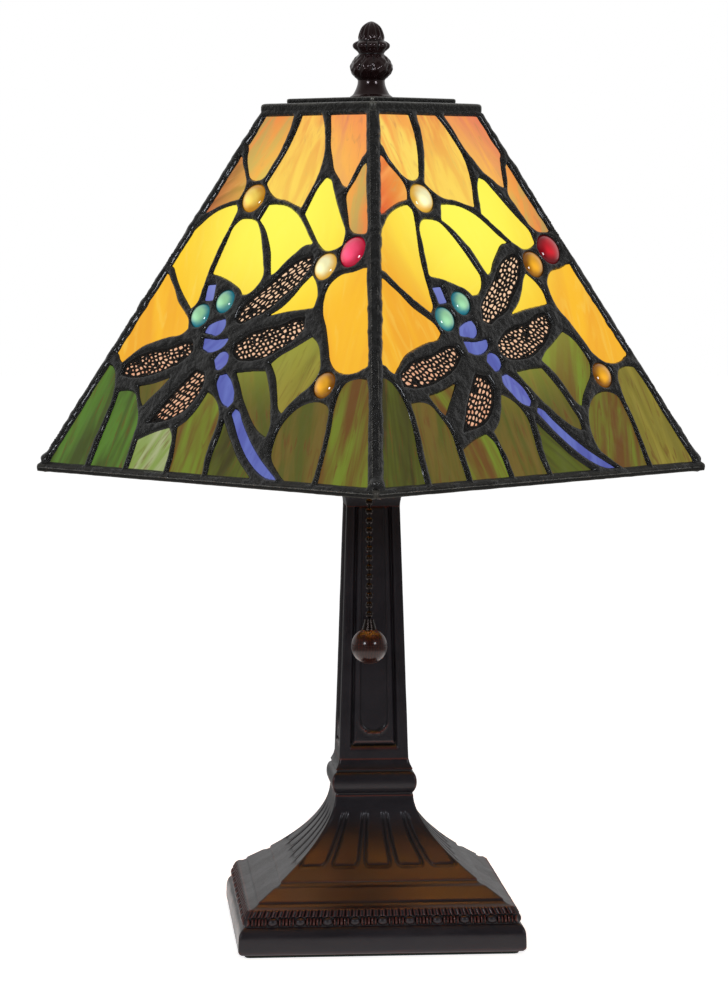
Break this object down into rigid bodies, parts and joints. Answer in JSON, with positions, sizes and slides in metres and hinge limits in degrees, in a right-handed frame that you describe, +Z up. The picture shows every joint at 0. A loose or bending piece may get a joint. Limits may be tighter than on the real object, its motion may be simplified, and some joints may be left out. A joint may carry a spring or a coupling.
{
  "type": "stained glass table lamp",
  "caption": "Table lamp with a square tapered leaded-glass shade on a square cast column and stepped foot, with a bead pull chain, a harp and a finial.",
  "frame": {"origin": "middle of the felt on the table, on the column's axis", "axes": "+Z up the column to the finial; the foot's front face looks along -Y, and the cord outlet is at the back, along +Y"},
  "size_m": [0.302, 0.302, 0.4104],
  "materials": {
    "felt": "dark green baize",
    "cast_bronze": "dark bronze patina, satin, with reddish-brown rubbed edges",
    "iron": "rough cast",
    "steel": "zinc plated",
    "brass": "plain brass, slightly dull",
    "bush_rubber": "matt black",
    "fibre": "brown insulating fibre",
    "bakelite": "dark brown moulded plastic",
    "chain_brass": "antique brass beads",
    "ball_wood": "turned, dark stained and lacquered",
    "bulb_metal": "drawn aluminium",
    "bulb_glass": "frosted, lit",
    "clear_glass": "clear",
    "filament": "glowing wire",
    "solder": "hand-run solder, black patina, bumpy",
    "rim_lead": "rolled lead came, black patina",
    "glass_orange": "peach and orange streaky art glass",
    "glass_yellow": "amber-yellow streaky art glass",
    "glass_green": "green and brown streaky art glass",
    "glass_blue": "periwinkle blue art glass",
    "glass_wing": "peach art glass behind the wings",
    "filigree": "pierced sheet, black patina",
    "jewel_amber": "polished amber cabochon",
    "jewel_ruby": "polished ruby cabochon",
    "jewel_teal": "polished teal cabochon",
    "cap_metal": "spun cap, black-brown patina",
    "finial_bronze": "cast, dark bronze, glossy"
  },
  "bodies": {
    "lamp_body": {"felt_pad": "felt", "foot_casting": "cast_bronze", "base_weight": "iron", "base_washer": "steel", "lock_washer": "steel", "base_nut": "brass", "cord_bush": "bush_rubber", "collar": "cast_bronze", "column": "cast_bronze", "capital": "cast_bronze", "lamp_pipe": "brass", "check_ring": "brass", "harp_saddle": "brass", "harp_loop": "brass", "harp_stud": "brass", "socket_cap": "brass", "socket_shell": "brass", "socket_liner": "fibre", "socket_body": "bakelite", "screw_shell": "brass", "centre_contact": "brass", "terminal_screws": "brass", "chain_guide": "brass", "guide_nut": "brass", "cam_pin": "steel"},
    "shade": {"came_panel_1": "solder", "came_panel_2": "solder", "came_panel_3": "solder", "came_panel_4": "solder", "hip_seams": "solder", "shade_rim": "rim_lead", "glass_orange": "glass_orange", "glass_yellow": "glass_yellow", "glass_green": "glass_green", "glass_blue": "glass_blue", "wing_glass": "glass_wing", "wing_filigree": "filigree", "jewels_amber": "jewel_amber", "jewels_ruby": "jewel_ruby", "jewels_teal": "jewel_teal", "shade_cap": "cap_metal", "cap_plate": "cap_metal"},
    "finial_knob": {"finial": "finial_bronze", "finial_insert": "brass"},
    "bulb": {"bulb_base": "bulb_metal", "bulb_contact": "brass", "bulb_glass": "bulb_glass", "bulb_stem": "clear_glass", "bulb_filament": "filament"},
    "cam_wheel": {"switch_cam": "bakelite"},
    "chain_slide": {"guide_chain": "chain_brass"},
    "hanging_chain": {"pull_chain": "chain_brass", "ball_ferrule": "chain_brass", "pull_ball": "ball_wood"}
  },
  "joints": [
    {"name": "shade_turn", "type": "hinge", "parent": "lamp_body", "child": "shade", "pos_m": [0, 0, 0.3726], "axis": [0, 0, 1], "continuous": true},
    {"name": "finial_turn", "type": "hinge", "parent": "lamp_body", "child": "finial_knob", "pos_m": [0, 0, 0.376], "axis": [0, 0, 1], "continuous": true},
    {"name": "bulb_turn", "type": "hinge", "parent": "lamp_body", "child": "bulb", "pos_m": [0, 0, 0.26], "axis": [0, 0, 1], "continuous": true},
    {"name": "chain_pull", "type": "slide", "parent": "lamp_body", "child": "chain_slide", "axis": [0, 0, -1], "range_m": [0, 0.008], "stiffness_N_per_m": 200, "springref_m": -0.005},
    {"name": "cam_turn", "type": "hinge", "parent": "lamp_body", "child": "cam_wheel", "pos_m": [0, 0, 0.235], "axis": [0.9945, -0.1045, 0], "range_deg": [0, 60]},
    {"name": "chain_swing", "type": "hinge", "parent": "chain_slide", "child": "hanging_chain", "pos_m": [-0.00418, -0.03978, 0.23378], "axis": [-0.1045, -0.9945, 0], "range_deg": [-15, 15]}
  ],
  "couplings": [
    {"joint": "cam_turn", "follows": "chain_pull", "rad_per_m": 130}
  ]
}
